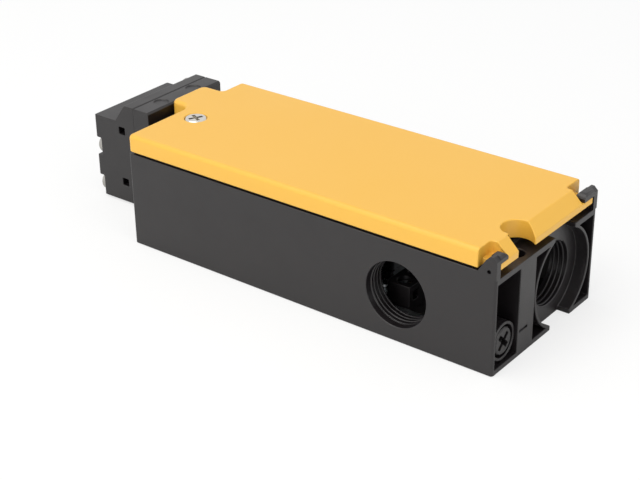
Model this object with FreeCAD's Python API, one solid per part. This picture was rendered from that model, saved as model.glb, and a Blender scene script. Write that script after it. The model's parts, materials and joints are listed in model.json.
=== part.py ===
import FreeCAD, Part
import math
import os
from FreeCAD import Vector

# Tongue interlock switch with solenoid guard locking, in millimetres.
# +X runs from the operating head to the cable end, +Z points away from the
# mounting face, and the origin is at the bottom centre of the whole outline.

# ---- driving dimensions -------------------------------------------------
body_length = 135.0        # housing, from the head-side wall to the cable end
body_width = 55.0
head_reach = 35.0          # how far the head stands out past the housing
head_width = 35.8
total_height = 38.0        # top of the cover
wall_height = total_height - 6.5    # top of the housing's side walls
wall = 2.4
floor = 2.6
line_height = 17.2         # height of the lock rod and of the tongue slots

# cable end of the housing
end_depth = 10.0           # length of the ribbed end block
end_height = wall_height - 1.5      # its top, lower than the side walls
end_skin = 1.2             # thin outer walls round the pockets
end_floor = 1.5
end_roof = 1.8
pocket_depth = 8.0
release_pocket = 11.6      # width of the pocket round the release screw
web_width = 8.6            # solid column that takes the mounting screw

# cable entries, M20
entry_radius = 10.0
entry_lead_radius = 10.3
side_lead_depth = 2.4
entry_height = 15.0
entry_boss_radius = 12.6
entry_boss_depth = 7.4     # thread and lead-in, wall included
side_entry_inset = 32.5    # side entries, from the cable end
gland_radius = 14.7        # round recess that clears the gland's nut
gland_rim = 0.85
gland_depth = 4.0
gland_notch = 11.2         # where the recess breaks out of the end block
gland_notch_floor = 2.2

# mounting screws, M5
mount_hole_radius = 2.7
mount_inset = 4.5          # cable-end screw, from the cable end
ear_length = 9.2
ear_height = 6.0
ear_hole_inset = 4.7       # ear screws, out from the head-side wall
ear_spacing = 26.2         # between the two ear screws

# hook posts at the cable end
post_thickness = 2.0
post_foot = 6.0
post_top = 3.4
hook_length = 3.2
hook_underside = total_height - 3.5
hook_top = total_height - 1.2
hook_reach_front = 5.7
hook_reach_back = 7.6
hook_round = 1.2

# cover
cover_gap = 0.8            # shadow gap between housing and cover
cover_wall = 3.0
cover_roof = 2.2
cover_edge_round = 1.4
cover_toe_top = hook_underside - 0.15    # low flange that sits under the hooks
cover_end_gap = 0.2
cover_bevel = 3.6
tab_reach = 8.6            # tab of the cover that covers the neck
tab_width = 16.2
tab_corner = 2.6
tab_fillet = 4.0
notch_radius = 4.8         # cut-out that gives access to the mounting screw
gasket_inset = 0.7
gasket_width = 1.6
rib_height = 1.6
rib_width = 1.2
rib_gap = 0.5

# cover screw, M4 class
cover_screw_x = 8.4        # from the head-side wall
cover_screw_y = 14.6       # in front of the lock rod's line
cover_screw_radius = 1.6
cover_screw_head = 3.5
cover_screw_head_height = 2.0
cover_screw_depth = 6.5    # length in the insert
insert_radius = 3.0
insert_bore = 2.1
insert_length = 7.0
cover_screw_boss = 6.0
insert_top = wall_height - 2.0

# operating head
head_clear = 9.7           # gap between the housing and the head's flange
flange_thickness = 6.8
head_bottom = 0.5
head_top = 36.0
nose_top = 29.7            # lower front part of the head
nose_length = 9.6
riser_length = 4.6
head_screw_radius = 1.5
head_screw_head = 2.9
head_screw_recess = 3.2
head_screw_recess_depth = 2.2
head_screw_reach = 4.6     # how far the recess is cleared in front of the seat
head_screw_inset = 3.3     # screw centre from the head's side faces
head_screw_low = 4.4
head_screw_high = 18.3
head_screw_top = 32.0
head_screw_grip = 5.4      # thread length in the flange
seam = 0.35
neck_screw_side = 5.7      # from the lock rod's line
neck_screw_drop = 10.0
neck_screw_below_top = 4.3

# tongue slots
slot_offset = 6.0          # tongue's plane from the rotor axis
slot_width = 4.6
slot_inset = 2.8           # tongue slot, shorter than the chamber
slot_lead = 0.9
window_width = 2.7
window_height = 2.6

# rotor
axle_radius = 1.5
running_gap = 0.05
rotor_hub = 3.4
disc_radius = 8.5
disc_thickness = 4.0
cam_thickness = 6.0
cam_high = 8.2
cam_low = 4.2
cam_turn = 60.0            # degrees of turn between guard open and closed
rotor_end_gap = 0.3
cavity_half = 9.4          # half width of the head's chamber
neck_roof = 2.0            # over and under the head's chamber
neck_step = 0.2            # neck's top, below the housing's wall

# lock rod
rod_radius = 3.0
rod_tip_gap = 0.3
rod_tip_round = 0.6
collar_radius = 5.4
collar_thickness = 1.0
collar_x = 14.0            # collar's near face, from the head-side wall

# lock lever and its pin
lever_x = 25.6             # pivot, from the head-side wall
lever_y_drop = 8.4         # pivot, in front of the rod's line
lever_pin_radius = 1.5
lever_hub = 3.6
lever_arm_width = 3.0
lever_bottom = 15.2
lever_plate = 4.0
lever_top = 24.0
push_arm_height = 6.5
tooth_thickness = 1.4
tooth_gap = 0.3
lever_swing = 11.5         # degrees between withdrawn and locking

# solenoid
solenoid_gap = 0.94        # yoke, past the lever's swing
solenoid_length = 50.0
solenoid_height = 20.9
yoke_room = 4.7            # what is left free beside the yoke, both sides together
yoke_front_room = 2.9      # of it, in front
yoke_sheet = 2.0
yoke_floor = 1.6
flange_inset = 0.8         # bobbin's flange, inside the yoke's width
coil_inset = 0.2           # winding, inside the flange
bobbin_clearance = 0.1
bobbin_wall = 1.0
bobbin_flange = 1.3
armature_share = 0.4375    # armature's radius, as a share of the winding's
core_length = 17.0
air_gap = 3.7
push_pin_radius = 1.4
tail_radius = 2.0
tail_collar_radius = 5.0
tail_collar = 1.5
return_spring_length = 7.0
spring_wire = 0.35

# chassis plate that carries the mechanism
chassis_bottom = 4.2
chassis_sheet = 1.5
chassis_start = 5.0
chassis_past_block = 6.5
chassis_front_step = -1.7  # front edge, from the solenoid's axis
chassis_back = 7.6         # back edge, from the back face
chassis_foot_inset = 3.0   # screws, from the plate's edges
chassis_hole = 1.7
chassis_foot = 3.2
chassis_post = 3.4         # carries the lever
chassis_column_gap = 2.0   # round the cover screw's column
pad_length = 4.0           # pads under the yoke
pad_front = 3.6
pad_back = 8.0
pad_inset = 6.0

# contact block
block_x = 30.0
block_length = 54.0
block_half = 12.0
block_wall = 1.6
block_height = 24.0
station_count = 4
station_pitch = 12.0
carrier_width = 5.0
carrier_height = 8.0
bridge_half = 6.6
bridge_sheet = 0.8
bridge_height = 3.0
bridge_spring_room = 3.8
contact_gap = 0.2
bay_half = 5.2             # half length of each terminal bay
bay_depth = 5.2
contact_strip = 1.0
terminal_screw_radius = 1.3
terminal_head = 2.6
terminal_head_height = 1.8

# coil terminals
coil_block_gap = 0.5       # behind the chassis plate
coil_block_size = (8.0, 12.0, 6.4)

# auxiliary release
release_line = 6.8         # axis, from the front face
release_height = 8.0
release_screw_radius = 4.2
release_screw_length = 5.8
release_collar_radius = 5.9
release_collar_bore = 5.0
release_sink = 0.9
release_stem = 2.4
barrel_radius = 3.6
barrel_length = 7.6
barrel_gap = 0.6
release_travel = 2.2
release_turn = 90.0
strip_follower = 0.7
strip_width = 3.6
strip_gap = 0.8            # from the side entry's boss
strip_clearance = 0.6
hook_gap = 3.9             # strip's hook, from the solenoid's axis
hook_width = 2.2

# ---- places worked out from them -----------------------------------------
x_end = (body_length + head_reach) / 2
x_wall = x_end - body_length
x_head = -x_end
y_front = -body_width / 2
y_back = body_width / 2
y_line = y_back - head_width / 2
yoke_width = (y_line - block_half) - (y_front + wall) - yoke_room
solenoid_line = wall + yoke_front_room + yoke_width / 2    # axis, from the front face
flange_radius = yoke_width / 2 - flange_inset
coil_radius = flange_radius - coil_inset
armature_radius = coil_radius * armature_share
bobbin_bore = armature_radius + bobbin_clearance
chassis_front = solenoid_line + chassis_front_step    # edge, from the front face
chassis_end = block_x + block_length + chassis_past_block
coil_block_x = chassis_end + coil_block_gap
x_cavity_end = x_end - end_depth
x_flange = x_wall - head_clear
x_seam = x_flange - flange_thickness
cover_bottom = wall_height + cover_gap
y_web = y_front + end_skin + release_pocket
y_mount = y_web + web_width / 2
x_mount = x_end - mount_inset
x_rod_tip = x_seam + cam_high + rod_tip_gap
chamber_height = 2 * (wall_height - neck_step - neck_roof - line_height)
slot_length = chamber_height - slot_inset
push_arm_length = (y_line - lever_y_drop) - (y_front + solenoid_line)
lever_sweep = push_arm_length * math.tan(math.radians(lever_swing))
lever_side = lever_arm_width / 2 / math.cos(math.radians(lever_swing))
solenoid_x = lever_x + lever_sweep + lever_side + solenoid_gap
y_strip_out = y_front + entry_boss_depth + strip_gap
y_strip_in = y_strip_out + strip_width
rod_stroke = cam_high - cam_low


# ---- small shape helpers -------------------------------------------------
def block(x0, x1, y0, y1, z0, z1):
    return Part.makeBox(x1 - x0, y1 - y0, z1 - z0, Vector(x0, y0, z0))


def rod(radius, start, end):
    run = Vector(*end) - Vector(*start)
    return Part.makeCylinder(radius, run.Length, Vector(*start), run)


def tube(outer, inner, start, end):
    return rod(outer, start, end).cut(rod(inner, start, end))


def side_plate(points, y0, y1):
    """Closed outline of X and Z points, run from y0 to y1."""
    corners = [Vector(x, y0, z) for x, z in points]
    face = Part.Face(Part.makePolygon(corners + corners[:1]))
    return face.extrude(Vector(0, y1 - y0, 0))


def round_edges(shape, radius, wanted):
    """Fillets the edges whose middle and direction pass the wanted test."""
    edges = []
    for edge in shape.Edges:
        if edge.Curve.TypeId != "Part::GeomLine":
            continue
        middle = edge.valueAt((edge.FirstParameter + edge.LastParameter) / 2)
        way = edge.tangentAt(edge.FirstParameter)
        if wanted(middle, way):
            edges.append(edge)
    return shape.makeFillet(radius, edges) if edges else shape


def spring(radius, wire, turns, start, end):
    """Compression spring along X: a square wire on a helix of short chords."""
    chords = 12
    margin = wire * 1.3
    length = abs(end[0] - start[0]) - 2 * margin
    x0 = min(start[0], end[0]) + margin
    path = []
    for i in range(turns * chords + 1):
        angle = 2 * math.pi * i / chords
        x = x0 + length * i / (turns * chords)
        path.append(Vector(x, start[1] + radius * math.cos(angle), start[2] + radius * math.sin(angle)))
    first = path[0]
    side = wire * 0.9
    corners = [
        first + Vector(side * a, side * b, 0) for a, b in ((-1, -1), (1, -1), (1, 1), (-1, 1))
    ]
    profile = Part.makePolygon(corners + corners[:1])
    return Part.makePolygon(path).makePipeShell([profile], True, False, 1)


def pan_head(radius, height, base, way):
    """Screw head, kept to a plain short cylinder."""
    return Part.makeCylinder(radius, height, Vector(*base), Vector(*way))


def group(shapes):
    return Part.makeCompound(shapes)


# ---- base housing --------------------------------------------------------
def gland_recess(depth, radius):
    return rod(radius, (x_end - depth, y_line, entry_height), (x_end + 1, y_line, entry_height))


def end_pockets():
    """Pockets round the gland rim and round the release screw."""
    x0 = x_end - pocket_depth
    top = end_height - end_roof
    release = block(x0, x_end + 1, y_front + end_skin, y_web, end_floor, top)
    collar = rod(
        release_collar_radius,
        (x0 - 1, y_front + release_line, release_height),
        (x_end - release_sink, y_front + release_line, release_height),
    )
    release = release.cut(collar)
    beside = block(x0, x_end + 1, y_web + web_width, y_back - end_skin, end_floor, top)
    beside = beside.cut(gland_recess(pocket_depth + 1, gland_radius + gland_rim))
    return [release, beside]


def hook_post(side, reach):
    """Corner post with the hook that holds the cover down; side is -1 or 1."""
    y_out = side * body_width / 2
    y_in = y_out - side * post_thickness
    y_tip = y_out - side * reach
    top = hook_top
    outline = [
        (x_end - post_foot, end_height),
        (x_end - post_foot, wall_height),
        (x_end - post_top, top - hook_round),
        (x_end - post_top + hook_round, top),
        (x_end - hook_round, top),
        (x_end, top - hook_round),
        (x_end, end_height),
    ]
    post = side_plate(outline, min(y_out, y_in), max(y_out, y_in))
    hook = block(
        x_end - hook_length, x_end, min(y_in, y_tip), max(y_in, y_tip), hook_underside, top
    )
    hook = round_edges(hook, hook_round, lambda m, w: m.z > top - 0.01 and abs(w.y) > 0.9)
    tip_block = block(
        x_end - hook_length - 1, x_end + 1, min(y_tip, y_tip + side * 2.2),
        max(y_tip, y_tip + side * 2.2), hook_underside + 1.0, top + 1,
    )
    tip_round = rod(
        2.2,
        (x_end - hook_length - 1, y_tip + side * 2.2, top - 2.2),
        (x_end + 1, y_tip + side * 2.2, top - 2.2),
    )
    lower = block(
        x_end - hook_length - 1, x_end + 1, y_tip - 3, y_tip + 3, hook_underside, top - 2.2
    )
    hook = hook.cut(tip_block.cut(tip_round).cut(lower))
    return post.fuse(hook)


def base_housing():
    outer = block(x_wall, x_end, y_front, y_back, 0, wall_height)
    outer = round_edges(outer, 0.8, lambda m, w: abs(w.z) > 0.9)
    shell = outer.cut(
        block(x_wall + wall, x_cavity_end, y_front + wall, y_back - wall, floor, wall_height + 1)
    )
    shell = shell.cut(
        block(x_cavity_end + wall, x_end + 1, y_front + end_skin, y_back - end_skin,
              end_height, wall_height + 1)
    )
    shell = shell.cut(group(end_pockets()))
    shell = shell.cut(gland_recess(gland_depth, gland_radius))
    notch = gland_notch / 2
    shell = shell.cut(
        block(x_end - gland_depth, x_end + 1, y_line - notch, y_line + notch, -1, gland_notch_floor)
    )
    shell = shell.cut(
        block(x_end - gland_depth, x_end + 1, y_line - notch, y_line + notch,
              entry_height, end_height + 1)
    )

    # threaded bosses behind the side entries
    x_side = x_end - side_entry_inset
    for side in (-1, 1):
        y_out = side * body_width / 2
        y_in = y_out - side * entry_boss_depth
        shell = shell.fuse(
            rod(entry_boss_radius, (x_side, y_out - side * wall / 2, entry_height),
                (x_side, y_in, entry_height))
        )
    for side in (-1, 1):
        y_out = side * body_width / 2
        y_in = y_out - side * entry_boss_depth
        y_lead = y_out - side * side_lead_depth
        shell = shell.cut(
            rod(entry_radius, (x_side, y_out + side, entry_height),
                (x_side, y_in - side, entry_height))
        )
        shell = shell.cut(
            rod(entry_lead_radius, (x_side, y_out + side, entry_height),
                (x_side, y_lead, entry_height))
        )
    shell = shell.cut(
        rod(entry_radius, (x_cavity_end - 1, y_line, entry_height), (x_end, y_line, entry_height))
    )

    # column for the cover screw's insert, and feet for the chassis
    x_screw = x_wall + cover_screw_x
    y_screw = y_line - cover_screw_y
    column = rod(insert_radius + 1.2, (x_screw, y_screw, floor - 1), (x_screw, y_screw, insert_top))
    shell = shell.fuse(column)
    shell = shell.cut(
        rod(insert_radius, (x_screw, y_screw, insert_top - insert_length),
            (x_screw, y_screw, insert_top + 1))
    )
    shell = shell.cut(
        rod(insert_bore, (x_screw, y_screw, insert_top - insert_length - 3), (x_screw, y_screw, insert_top))
    )
    for x, y in chassis_screw_places():
        foot = rod(chassis_foot, (x, y, floor - 1), (x, y, chassis_bottom))
        shell = shell.fuse(foot).cut(rod(1.2, (x, y, 1.0), (x, y, chassis_bottom + 1)))

    # ears with the two mounting screws beside the neck
    for side in (-1, 1):
        y_near = y_line + side * (tab_width / 2 + 0.3)
        y_far = y_line + side * head_width / 2
        ear = block(
            x_wall - ear_length, x_wall + 1, min(y_near, y_far), max(y_near, y_far), 0, ear_height
        )
        ear = round_edges(
            ear, 2.5, lambda m, w: abs(w.z) > 0.9 and m.x < x_wall - 1
        )
        hole_y = y_line + side * ear_spacing / 2
        hole_x = x_wall - ear_hole_inset
        shell = shell.fuse(ear).cut(
            rod(mount_hole_radius, (hole_x, hole_y, -1), (hole_x, hole_y, ear_height + 1))
        )

    # passage of the lock rod, neck screws, mounting and release holes
    shell = shell.cut(
        rod(rod_radius + running_gap, (x_wall - 1, y_line, line_height),
            (x_wall + wall + 1, y_line, line_height))
    )
    for y, z in neck_screw_places():
        shell = shell.cut(rod(1.6, (x_wall - 1, y, z), (x_wall + wall + 1, y, z)))
    shell = shell.cut(
        rod(mount_hole_radius, (x_mount, y_mount, -1), (x_mount, y_mount, end_height + 1))
    )
    y_release = y_front + release_line
    shell = shell.cut(
        rod(release_stem + running_gap, (x_cavity_end - 1, y_release, release_height),
            (x_end, y_release, release_height))
    )
    shell = shell.cut(
        rod(release_collar_bore, (x_end - pocket_depth, y_release, release_height),
            (x_end, y_release, release_height))
    )
    shell = shell.cut(
        block(x_end - 0.5, x_end + 1, y_web + 0.8, y_web + 5.2, release_height - 0.5, release_height + 0.5)
    )

    shell = shell.fuse(hook_post(-1, hook_reach_front))
    shell = shell.fuse(hook_post(1, hook_reach_back))
    shell = shell.cut(
        rod(0.6, (x_end - 2.4, y_front - 1, wall_height + 0.7),
            (x_end - 2.4, y_front + 1.2, wall_height + 0.7))
    )
    return shell.removeSplitter()


def neck_screw_places():
    low = line_height - neck_screw_drop
    high = wall_height - neck_screw_below_top
    return [(y_line + dy, z) for dy in (-neck_screw_side, neck_screw_side) for z in (low, high)]


def chassis_screw_places():
    near = x_wall + chassis_start + chassis_foot_inset
    far = x_wall + chassis_end - chassis_foot_inset
    back = y_back - chassis_back - chassis_foot_inset
    front = y_strip_in + strip_clearance + chassis_foot
    return [(near, back), (far, back), (far, front)]


# ---- cover ---------------------------------------------------------------
def cover_outline():
    """Plan of the cover, with the tab over the neck, as one closed wire."""
    x1 = x_end - cover_end_gap
    y0 = y_front
    y1 = y_back
    t0 = y_line - tab_width / 2
    t1 = y_line + tab_width / 2
    xt = x_wall - tab_reach
    c = tab_corner
    f = tab_fillet
    g = 1.2
    k = math.sqrt(0.5)

    def arc(a, m, b):
        return Part.Arc(Vector(*a, 0), Vector(*m, 0), Vector(*b, 0)).toShape()

    def line(a, b):
        return Part.makeLine(Vector(*a, 0), Vector(*b, 0))

    r = 1.5
    edges = [
        line((x1, y0), (x_wall + r, y0)),
        arc((x_wall + r, y0), (x_wall + r - r * k, y0 + r - r * k), (x_wall, y0 + r)),
        line((x_wall, y0 + r), (x_wall, t0 - f)),
        arc((x_wall, t0 - f), (x_wall - f + f * k, t0 - f + f * k), (x_wall - f, t0)),
        line((x_wall - f, t0), (xt + c, t0)),
        arc((xt + c, t0), (xt + c - c * k, t0 + c - c * k), (xt, t0 + c)),
        line((xt, t0 + c), (xt, t1 - c)),
        arc((xt, t1 - c), (xt + c - c * k, t1 - c + c * k), (xt + c, t1)),
        line((xt + c, t1), (x_wall - g, t1)),
        arc((x_wall - g, t1), (x_wall - g + g * k, t1 + g - g * k), (x_wall, t1 + g)),
        line((x_wall, t1 + g), (x_wall, y1 - r)),
        arc((x_wall, y1 - r), (x_wall + r - r * k, y1 - r + r * k), (x_wall + r, y1)),
        line((x_wall + r, y1), (x1, y1)),
        line((x1, y1), (x1, y0)),
    ]
    return Part.Wire(Part.__sortEdges__(edges))


def gasket_loop(inset, width, z0, z1):
    """Rectangular ring that follows the sealed part of the housing's rim."""
    def loop(step, corner):
        solid = block(
            x_wall + step, x_cavity_end + wall - step, y_front + step, y_back - step, z0, z1
        )
        return round_edges(solid, corner, lambda m, w: abs(w.z) > 0.9)
    return loop(inset, 1.6).cut(loop(inset + width, 0.6))


def cover():
    face = Part.Face(cover_outline())
    face.translate(Vector(0, 0, cover_bottom))
    lid = face.extrude(Vector(0, 0, total_height - cover_bottom))
    rim = [e for e in lid.Edges if e.BoundBox.ZMin > total_height - 0.01]
    lid = lid.makeFillet(cover_edge_round, rim)

    # bevel towards the cable end
    x0 = x_end - cover_end_gap - cover_bevel
    past = x_end + 2
    wedge = [(x0, total_height), (past, total_height + 2), (past, total_height - cover_bevel - 2.2)]
    lid = lid.cut(side_plate(wedge, y_front - 1, y_back + 1))

    # room for the hook posts and hooks
    for side, reach in ((-1, hook_reach_front), (1, hook_reach_back)):
        y_out = side * (body_width / 2 + 1)
        y_post = side * (body_width / 2 - post_thickness - 0.4)
        y_hook = side * (body_width / 2 - reach - 0.8)
        x_cut = x_end - post_foot
        lid = lid.cut(
            block(x_cut, x_end + 1, min(y_out, y_post), max(y_out, y_post), 0, total_height + 1)
        )
        pocket = block(
            x_cut, x_end + 1, min(y_out, y_hook), max(y_out, y_hook), cover_toe_top, total_height + 1
        )
        pocket = round_edges(
            pocket, 1.2,
            lambda m, w: abs(w.z) > 0.9 and m.x < x_cut + 0.1 and side * m.y < side * y_hook + 0.1
        )
        lid = lid.cut(pocket)

    # access notch over the mounting screw
    bore = rod(notch_radius, (x_mount + 0.4, y_mount, 0), (x_mount + 0.4, y_mount, total_height + 1))
    mouth = block(x_mount + 0.4, x_end + 1, y_mount - 5.6, y_mount + 3.4, 0, total_height + 1)
    lid = lid.cut(bore.fuse(mouth))

    # hollow underside, tab included
    roof = total_height - cover_roof
    hollow = block(
        x_wall + cover_wall, x_cavity_end + wall - cover_wall, y_front + cover_wall,
        y_back - cover_wall, cover_bottom - 1, roof,
    )
    hollow = round_edges(hollow, 1.0, lambda m, w: abs(w.z) > 0.9)
    x_screw = x_wall + cover_screw_x
    y_screw = y_line - cover_screw_y
    screw_boss = rod(cover_screw_boss, (x_screw, y_screw, cover_bottom), (x_screw, y_screw, roof + 0.5))
    hollow = hollow.cut(screw_boss)
    lid = lid.cut(hollow)
    tab_hollow = block(
        x_wall - tab_reach + 2, x_wall - 0.5, y_line - tab_width / 2 + 2,
        y_line + tab_width / 2 - 2, cover_bottom - 1, roof,
    )
    lid = lid.cut(tab_hollow)

    # gasket groove, locating rib and stiffening ribs
    groove = gasket_loop(gasket_inset, gasket_width, cover_bottom - 1, cover_bottom + 1.1)
    lid = lid.cut(groove)
    step = wall + rib_gap
    rib = gasket_loop(step, rib_width, cover_bottom - rib_height, cover_bottom + 1.0)
    x_side = x_end - side_entry_inset
    relief = entry_boss_radius + rib_gap
    rib = rib.cut(rod(relief, (x_side, y_front, entry_height), (x_side, y_back, entry_height)))
    lid = lid.fuse(rib)
    for x in (x_wall + body_length / 3, x_wall + body_length * 0.64):
        lid = lid.fuse(
            block(x, x + 1.4, y_front + cover_wall - 0.5, y_back - cover_wall + 0.5,
                  roof - 2.0, roof + 0.5)
        )

    # screw seat
    lid = lid.cut(
        rod(cover_screw_head + 0.25, (x_screw, y_screw, total_height - cover_screw_head_height),
            (x_screw, y_screw, total_height + 1))
    )
    lid = lid.cut(rod(insert_bore, (x_screw, y_screw, 0), (x_screw, y_screw, total_height)))
    return lid.removeSplitter()


def cover_gasket():
    return gasket_loop(
        gasket_inset + 0.1, gasket_width - 0.2, wall_height, cover_bottom + 1.05
    )


def cover_screw():
    x = x_wall + cover_screw_x
    y = y_line - cover_screw_y
    seat = total_height - cover_screw_head_height
    head = pan_head(cover_screw_head, cover_screw_head_height, (x, y, seat), (0, 0, 1))
    shank = rod(cover_screw_radius, (x, y, insert_top - cover_screw_depth), (x, y, seat + 0.4))
    return head.fuse(shank)


def cover_screw_ring():
    x = x_wall + cover_screw_x
    y = y_line - cover_screw_y
    return tube(3.15, cover_screw_radius + 0.55, (x, y, cover_bottom - 1.0), (x, y, cover_bottom))


def cover_insert():
    x = x_wall + cover_screw_x
    y = y_line - cover_screw_y
    body = tube(insert_radius, insert_bore, (x, y, insert_top - insert_length), (x, y, insert_top))
    z_groove = insert_top - 4.0
    groove = tube(insert_radius + 1, insert_radius - 0.5, (x, y, z_groove), (x, y, z_groove + 1.0))
    return body.cut(groove)


# ---- operating head ------------------------------------------------------
def head_screw_places():
    """Centre and seat of each screw; the last one sits in the riser."""
    y0 = y_line - head_width / 2 + head_screw_inset
    y1 = y_line + head_width / 2 - head_screw_inset
    nose_seat = x_head + head_screw_recess_depth
    riser_seat = x_head + nose_length + riser_length - 0.6
    return [
        (y0, head_screw_low, nose_seat),
        (y0, head_screw_high, nose_seat),
        (y1, head_screw_low, nose_seat),
        (y1, head_screw_top, riser_seat),
    ]


def rotor_chamber(x0, x1, half):
    z0 = line_height - chamber_height / 2
    return block(x0, x1, y_line - half, y_line + half, z0, z0 + chamber_height)


def axle_hole(radius):
    reach = chamber_height / 2 + 2.2
    return rod(radius, (x_seam, y_line, line_height - reach), (x_seam, y_line, line_height + reach))


def funnel(along_x, mouth, depth, width, length):
    """Tongue slot with a bevelled mouth, from an outer face inwards."""
    lead = slot_lead
    w = width / 2
    h = length / 2
    bevel = Part.makeWedge(-w - lead, 0, -h - lead, -h, -w, w + lead, lead, h + lead, h, w)
    slot = bevel.fuse(block(-w, w, -1, depth, -h, h))
    slot.rotate(Vector(0, 0, 0), Vector(0, 0, 1), -90 if along_x else 180)
    slot.translate(Vector(mouth[0], mouth[1], line_height))
    return slot


def head_cap():
    y0 = y_line - head_width / 2
    y1 = y_line + head_width / 2
    outline = [
        (x_head, head_bottom),
        (x_head, nose_top),
        (x_head + nose_length, nose_top),
        (x_head + nose_length + riser_length, head_top),
        (x_seam - seam, head_top),
        (x_seam, head_top - seam),
        (x_seam, head_bottom + seam),
        (x_seam - seam, head_bottom),
    ]
    cap = side_plate(outline, y0, y1)
    cap = round_edges(
        cap, 0.5, lambda m, w: abs(w.z) > 0.9 and m.x < x_head + 0.01
    )
    cap = cap.cut(rotor_chamber(x_head + nose_length, x_seam + 1, cavity_half))
    # end slot, side slot and the clearance windows opposite the side slot
    y_end_slot = y_line - slot_offset
    x_side_slot = x_seam - slot_offset
    cap = cap.cut(funnel(True, (x_head, y_end_slot), nose_length + 1, slot_width, slot_length))
    cap = cap.cut(funnel(False, (x_side_slot, y1), 10.0, slot_width, slot_length))
    for side in (-1, 1):
        z = line_height + side * (slot_length - window_height) / 2
        cap = cap.cut(
            block(x_side_slot - window_width / 2, x_side_slot + window_width / 2, y0 - 1,
                  y_line - cavity_half + 1, z - window_height / 2, z + window_height / 2)
        )
    for y, z, seat in head_screw_places():
        side = -1 if y < y_line else 1
        y_side = y + side * (head_screw_inset + 1)
        lowest = z == head_screw_low
        y_near = y - side * head_screw_recess if lowest else y
        z_low = head_bottom - 1 if lowest else z - head_screw_recess
        cap = cap.cut(rod(head_screw_recess, (seat - head_screw_reach, y, z), (seat, y, z)))
        cap = cap.cut(
            block(seat - head_screw_reach, seat, min(y_near, y_side), max(y_near, y_side),
                  z_low, z + head_screw_recess)
        )
        cap = cap.cut(rod(head_screw_radius + 0.2, (seat - 1, y, z), (x_seam + 1, y, z)))
    # small parting nick at the foot of the riser
    cap = cap.cut(
        block(x_head + nose_length - 0.6, x_head + nose_length + 1.4, y0 + 3.2, y0 + 5.2,
              nose_top - 0.8, nose_top + 1.4)
    )
    cap = cap.cut(axle_hole(axle_radius))
    return cap.removeSplitter()


def head_base():
    """Flange with the neck that is bolted to the housing's wall."""
    y0 = y_line - head_width / 2
    y1 = y_line + head_width / 2
    outline = [
        (x_seam, head_bottom + seam),
        (x_seam, head_top - seam),
        (x_seam + seam, head_top),
        (x_flange - 0.6, head_top),
        (x_flange, head_top - 0.6),
        (x_flange, head_bottom + 0.6),
        (x_flange - 0.6, head_bottom),
        (x_seam + seam, head_bottom),
    ]
    flange = side_plate(outline, y0, y1)
    neck = block(
        x_flange - 1, x_wall, y_line - tab_width / 2, y_line + tab_width / 2,
        head_bottom + 1.5, wall_height - neck_step,
    )
    base = flange.fuse(neck)
    base = base.cut(rotor_chamber(x_seam - 1, x_wall - 7.4, tab_width / 2 - 1.2))
    base = base.cut(rotor_chamber(x_seam - 1, x_flange - 1.0, cavity_half))
    base = base.cut(
        rod(rod_radius + 0.6, (x_flange - 1, y_line, line_height), (x_wall + 1, y_line, line_height))
    )
    for y, z in neck_screw_places():
        base = base.cut(rod(1.4, (x_wall - 5.2, y, z), (x_wall + 1, y, z)))
    for y, z, seat in head_screw_places():
        base = base.cut(rod(head_screw_radius, (x_seam - 1, y, z), (x_seam + head_screw_grip, y, z)))
    for side in (-1, 1):
        y = y_line + side * 7.85
        x = x_seam + flange_thickness / 2
        base = base.cut(rod(2.6, (x, y, head_top - 0.35), (x, y, head_top + 1)))
    base = base.cut(axle_hole(axle_radius))
    return base.removeSplitter()


def head_screws():
    screws = []
    for y, z, seat in head_screw_places():
        head = pan_head(head_screw_head, 1.55, (seat, y, z), (-1, 0, 0))
        shank = rod(head_screw_radius, (seat - 0.3, y, z), (x_seam + head_screw_grip - 0.4, y, z))
        screws.append(head.fuse(shank))
    return group(screws)


def neck_screws():
    screws = []
    for y, z in neck_screw_places():
        head = pan_head(2.6, 1.8, (x_wall + wall, y, z), (1, 0, 0))
        shank = rod(1.4, (x_wall + wall + 0.3, y, z), (x_wall - 4.8, y, z))
        screws.append(head.fuse(shank))
    return group(screws)


def slot_plug():
    """Blanking plug pressed in the tongue slot that isn't used."""
    x = x_seam - slot_offset
    y = y_line + head_width / 2
    cap = funnel(False, (x, y), 3.4, slot_width - 0.2, slot_length - 0.2)
    cap = cap.common(block(x - 9, x + 9, y - 9, y - 0.1, 0, 40))
    hollow = block(x - slot_width / 2 + 0.9, x + slot_width / 2 - 0.9, y - 5, y - 1.6,
                   line_height - slot_length / 2 + 1.2, line_height + slot_length / 2 - 1.2)
    return cap.cut(hollow)


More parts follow.
